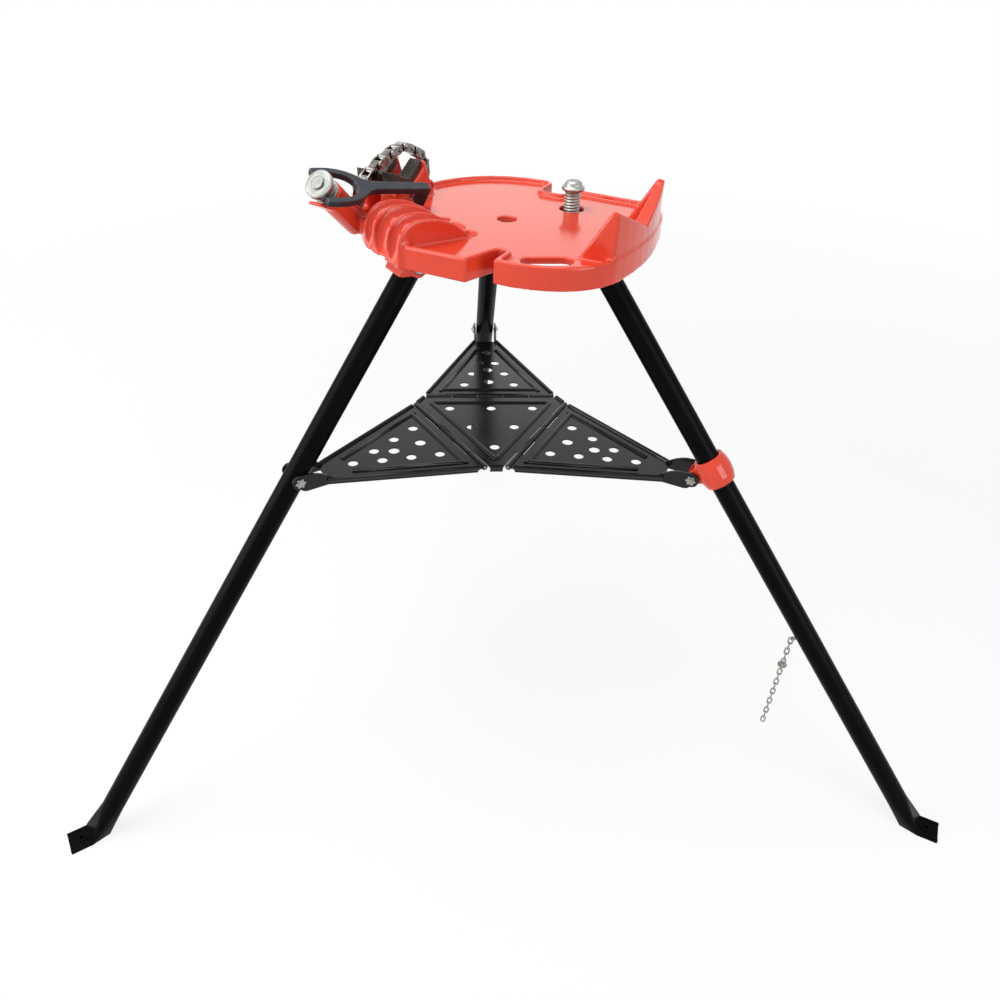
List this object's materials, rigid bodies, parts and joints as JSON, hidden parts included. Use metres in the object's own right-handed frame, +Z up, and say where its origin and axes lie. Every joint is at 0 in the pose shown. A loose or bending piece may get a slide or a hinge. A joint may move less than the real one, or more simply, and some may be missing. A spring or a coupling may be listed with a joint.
{
  "type": "tripod pipe vise stand",
  "caption": "Folding tripod stand with a cast table, chain pipe vise, pipe benders, pipe rest and hinged tool tray.",
  "frame": {"origin": "on the floor, under the middle of the stand's bounding box", "axes": "+Z up; +X along the clamped pipe from the vise towards the pipe rest and the rear leg; +Y towards the chain anchor side"},
  "size_m": [1.2198, 1.335, 0.9165],
  "materials": {
    "red_enamel": "gloss enamel over cast iron",
    "black_enamel": "gloss black enamel",
    "forged_steel": "black oxide forging",
    "jaw_steel": "hardened dark steel",
    "chain_steel": "oiled steel",
    "zinc": "bright zinc plate"
  },
  "bodies": {
    "table": {"vise_table": "red_enamel", "jaw_near": "jaw_steel", "jaw_far": "jaw_steel", "jaw_pin_near": "forged_steel", "jaw_pin_far": "forged_steel", "thrust_washer": "zinc", "chain_anchor_pin": "forged_steel", "leg_pin_rear": "zinc", "leg_pin_back": "zinc", "leg_pin_front": "zinc"},
    "nut": {"tension_nut": "zinc"},
    "hook": {"chain_hook": "chain_steel"},
    "handle": {"handle": "forged_steel"},
    "brace_cap": {"brace_cap": "zinc"},
    "brace_screw": {"brace_screw": "zinc"},
    "leg_front": {"leg_front": "black_enamel"},
    "leg_back": {"leg_back": "black_enamel"},
    "leg_rear": {"leg_rear": "black_enamel", "tie_staple": "zinc"},
    "tray_center": {"tray_center": "black_enamel", "hinge_wire_rear": "zinc", "hinge_wire_back": "zinc", "hinge_wire_front": "zinc"},
    "wing_front": {"tray_wing_front": "black_enamel", "tray_stud_front_1": "zinc", "tray_stud_front_2": "zinc"},
    "wing_back": {"tray_wing_back": "black_enamel", "tray_stud_back_1": "zinc", "tray_stud_back_2": "zinc"},
    "wing_rear": {"tray_wing_rear": "black_enamel", "collar_pin": "zinc"},
    "collar": {"collar": "red_enamel"},
    "tie_chain": {"tie_chain": "zinc"},
    "chain_link_01": {"chain_link_01": "chain_steel"},
    "chain_link_02": {"chain_link_02": "chain_steel"},
    "chain_link_03": {"chain_link_03": "chain_steel"},
    "chain_link_04": {"chain_link_04": "chain_steel"},
    "chain_link_05": {"chain_link_05": "chain_steel"},
    "chain_link_06": {"chain_link_06": "chain_steel"},
    "chain_link_07": {"chain_link_07": "chain_steel"},
    "chain_link_08": {"chain_link_08": "chain_steel"},
    "chain_link_09": {"chain_link_09": "chain_steel"},
    "chain_link_10": {"chain_link_10": "chain_steel"},
    "chain_link_11": {"chain_link_11": "chain_steel"},
    "chain_link_12": {"chain_link_12": "chain_steel"},
    "chain_link_13": {"chain_link_13": "chain_steel"},
    "chain_link_14": {"chain_link_14": "chain_steel"}
  },
  "joints": [
    {"name": "fold_leg_front", "type": "hinge", "parent": "table", "child": "leg_front", "pos_m": [-0.2794, -0.11399, 0.806], "axis": [0.866, -0.5, 0], "range_deg": [0, 34]},
    {"name": "fold_leg_back", "type": "hinge", "parent": "table", "child": "leg_back", "pos_m": [-0.2794, 0.11399, 0.806], "axis": [-0.866, -0.5, 0], "range_deg": [0, 34]},
    {"name": "fold_leg_rear", "type": "hinge", "parent": "table", "child": "leg_rear", "pos_m": [-0.05771, 0, 0.806], "axis": [0, 1, 0], "range_deg": [0, 35.5]},
    {"name": "tray_travel", "type": "slide", "parent": "table", "child": "tray_center", "axis": [0, 0, 1], "range_m": [-0.005, 0]},
    {"name": "fold_wing_front", "type": "hinge", "parent": "tray_center", "child": "wing_front", "pos_m": [-0.25358, -0.06928, 0.53], "axis": [0.866, -0.5, 0], "range_deg": [0, 76.1]},
    {"name": "fold_wing_back", "type": "hinge", "parent": "tray_center", "child": "wing_back", "pos_m": [-0.25358, 0.06928, 0.53], "axis": [-0.866, -0.5, 0], "range_deg": [0, 76.1]},
    {"name": "fold_wing_rear", "type": "hinge", "parent": "tray_center", "child": "wing_rear", "pos_m": [-0.13358, 0, 0.53], "axis": [0, 1, 0], "range_deg": [0, 76.1]},
    {"name": "collar_tilt", "type": "hinge", "parent": "wing_rear", "child": "collar", "pos_m": [0.11242, 0, 0.539], "axis": [0, 1, 0], "range_deg": [-40.6, 0]},
    {"name": "tie_chain_swing", "type": "hinge", "parent": "leg_rear", "child": "tie_chain", "pos_m": [0.30631, 0, 0.2978], "axis": [0, 1, 0], "range_deg": [-20, 60]},
    {"name": "nut_turn", "type": "hinge", "parent": "table", "child": "nut", "pos_m": [-0.37858, -0.165, 0.9035], "axis": [0, -0.7431, 0.6691], "range_deg": [0, 1800]},
    {"name": "hook_travel", "type": "slide", "parent": "table", "child": "hook", "axis": [0, 0.7431, -0.6691], "range_m": [0, 0.0201]},
    {"name": "handle_lift", "type": "hinge", "parent": "table", "child": "handle", "pos_m": [-0.37858, -0.15794, 0.89714], "axis": [0.7724, -0.425, -0.472], "range_deg": [0, 110]},
    {"name": "brace_turn", "type": "hinge", "parent": "brace_cap", "child": "brace_screw", "pos_m": [-0.14658, 0.097, 0.845], "axis": [0, 0, 1], "range_deg": [0, 1800]},
    {"name": "brace_travel", "type": "slide", "parent": "table", "child": "brace_cap", "axis": [0, 0, 1], "range_m": [0, 0.02]},
    {"name": "chain_pivot_01", "type": "hinge", "parent": "table", "child": "chain_link_01", "pos_m": [-0.37858, 0.072, 0.85], "axis": [-1, 0, 0], "range_deg": [0, 45]},
    {"name": "chain_pivot_02", "type": "hinge", "parent": "chain_link_01", "child": "chain_link_02", "pos_m": [-0.37858, 0.08048, 0.86357], "axis": [-1, 0, 0], "range_deg": [0, 34]},
    {"name": "chain_pivot_03", "type": "hinge", "parent": "chain_link_02", "child": "chain_link_03", "pos_m": [-0.37858, 0.07992, 0.87956], "axis": [-1, 0, 0], "range_deg": [0, 36]},
    {"name": "chain_pivot_04", "type": "hinge", "parent": "chain_link_03", "child": "chain_link_04", "pos_m": [-0.37858, 0.07007, 0.89217], "axis": [-1, 0, 0], "range_deg": [0, 24]},
    {"name": "chain_pivot_05", "type": "hinge", "parent": "chain_link_04", "child": "chain_link_05", "pos_m": [-0.37858, 0.05594, 0.89968], "axis": [-1, 0, 0], "range_deg": [0, 5]},
    {"name": "chain_pivot_06", "type": "hinge", "parent": "chain_link_05", "child": "chain_link_06", "pos_m": [-0.37858, 0.04121, 0.90593], "axis": [-1, 0, 0], "range_deg": [0, 5]},
    {"name": "chain_pivot_07", "type": "hinge", "parent": "chain_link_06", "child": "chain_link_07", "pos_m": [-0.37858, 0.026, 0.91087], "axis": [-1, 0, 0], "range_deg": [0, 22]},
    {"name": "chain_pivot_08", "type": "hinge", "parent": "chain_link_07", "child": "chain_link_08", "pos_m": [-0.37858, 0.01004, 0.90976], "axis": [-1, 0, 0], "range_deg": [0, 5]},
    {"name": "chain_pivot_09", "type": "hinge", "parent": "chain_link_08", "child": "chain_link_09", "pos_m": [-0.37858, -0.00577, 0.90726], "axis": [-1, 0, 0], "range_deg": [0, 4]},
    {"name": "chain_pivot_10", "type": "hinge", "parent": "chain_link_09", "child": "chain_link_10", "pos_m": [-0.37858, -0.02136, 0.90366], "axis": [-1, 0, 0], "range_deg": [0, 4]},
    {"name": "chain_pivot_11", "type": "hinge", "parent": "chain_link_10", "child": "chain_link_11", "pos_m": [-0.37858, -0.03666, 0.89898], "axis": [-1, 0, 0], "range_deg": [0, 4]},
    {"name": "chain_pivot_12", "type": "hinge", "parent": "chain_link_11", "child": "chain_link_12", "pos_m": [-0.37858, -0.0516, 0.89324], "axis": [-1, 0, 0], "range_deg": [0, 4]},
    {"name": "chain_pivot_13", "type": "hinge", "parent": "chain_link_12", "child": "chain_link_13", "pos_m": [-0.37858, -0.0661, 0.88648], "axis": [-1, 0, 0], "range_deg": [0, 5]},
    {"name": "chain_pivot_14", "type": "hinge", "parent": "chain_link_13", "child": "chain_link_14", "pos_m": [-0.37858, -0.07995, 0.87848], "axis": [-1, 0, 0], "range_deg": [0, 34]}
  ],
  "couplings": [
    {"joint": "fold_leg_back", "follows": "fold_leg_front", "ratio": 1},
    {"joint": "fold_leg_rear", "follows": "fold_leg_front", "ratio": 1.0439},
    {"joint": "tray_travel", "follows": "fold_leg_front", "m_per_rad": -0.008362},
    {"joint": "fold_wing_front", "follows": "fold_leg_front", "ratio": 2.2372},
    {"joint": "fold_wing_back", "follows": "fold_leg_front", "ratio": 2.2372},
    {"joint": "fold_wing_rear", "follows": "fold_leg_front", "ratio": 2.2372},
    {"joint": "collar_tilt", "follows": "fold_leg_front", "ratio": -1.1933},
    {"joint": "hook_travel", "follows": "nut_turn", "m_per_rad": 0.00063662},
    {"joint": "brace_turn", "follows": "brace_travel", "rad_per_m": 1570.8},
    {"joint": "chain_pivot_02", "follows": "chain_pivot_01", "ratio": 0.75555},
    {"joint": "chain_pivot_03", "follows": "chain_pivot_01", "ratio": 0.8},
    {"joint": "chain_pivot_04", "follows": "chain_pivot_01", "ratio": 0.53333},
    {"joint": "chain_pivot_05", "follows": "chain_pivot_01", "ratio": 0.11111},
    {"joint": "chain_pivot_06", "follows": "chain_pivot_01", "ratio": 0.11111},
    {"joint": "chain_pivot_07", "follows": "chain_pivot_01", "ratio": 0.48889},
    {"joint": "chain_pivot_08", "follows": "chain_pivot_01", "ratio": 0.11111},
    {"joint": "chain_pivot_09", "follows": "chain_pivot_01", "ratio": 0.088888},
    {"joint": "chain_pivot_10", "follows": "chain_pivot_01", "ratio": 0.088888},
    {"joint": "chain_pivot_11", "follows": "chain_pivot_01", "ratio": 0.088888},
    {"joint": "chain_pivot_12", "follows": "chain_pivot_01", "ratio": 0.088888},
    {"joint": "chain_pivot_13", "follows": "chain_pivot_01", "ratio": 0.11111},
    {"joint": "chain_pivot_14", "follows": "chain_pivot_01", "ratio": 0.75555}
  ]
}
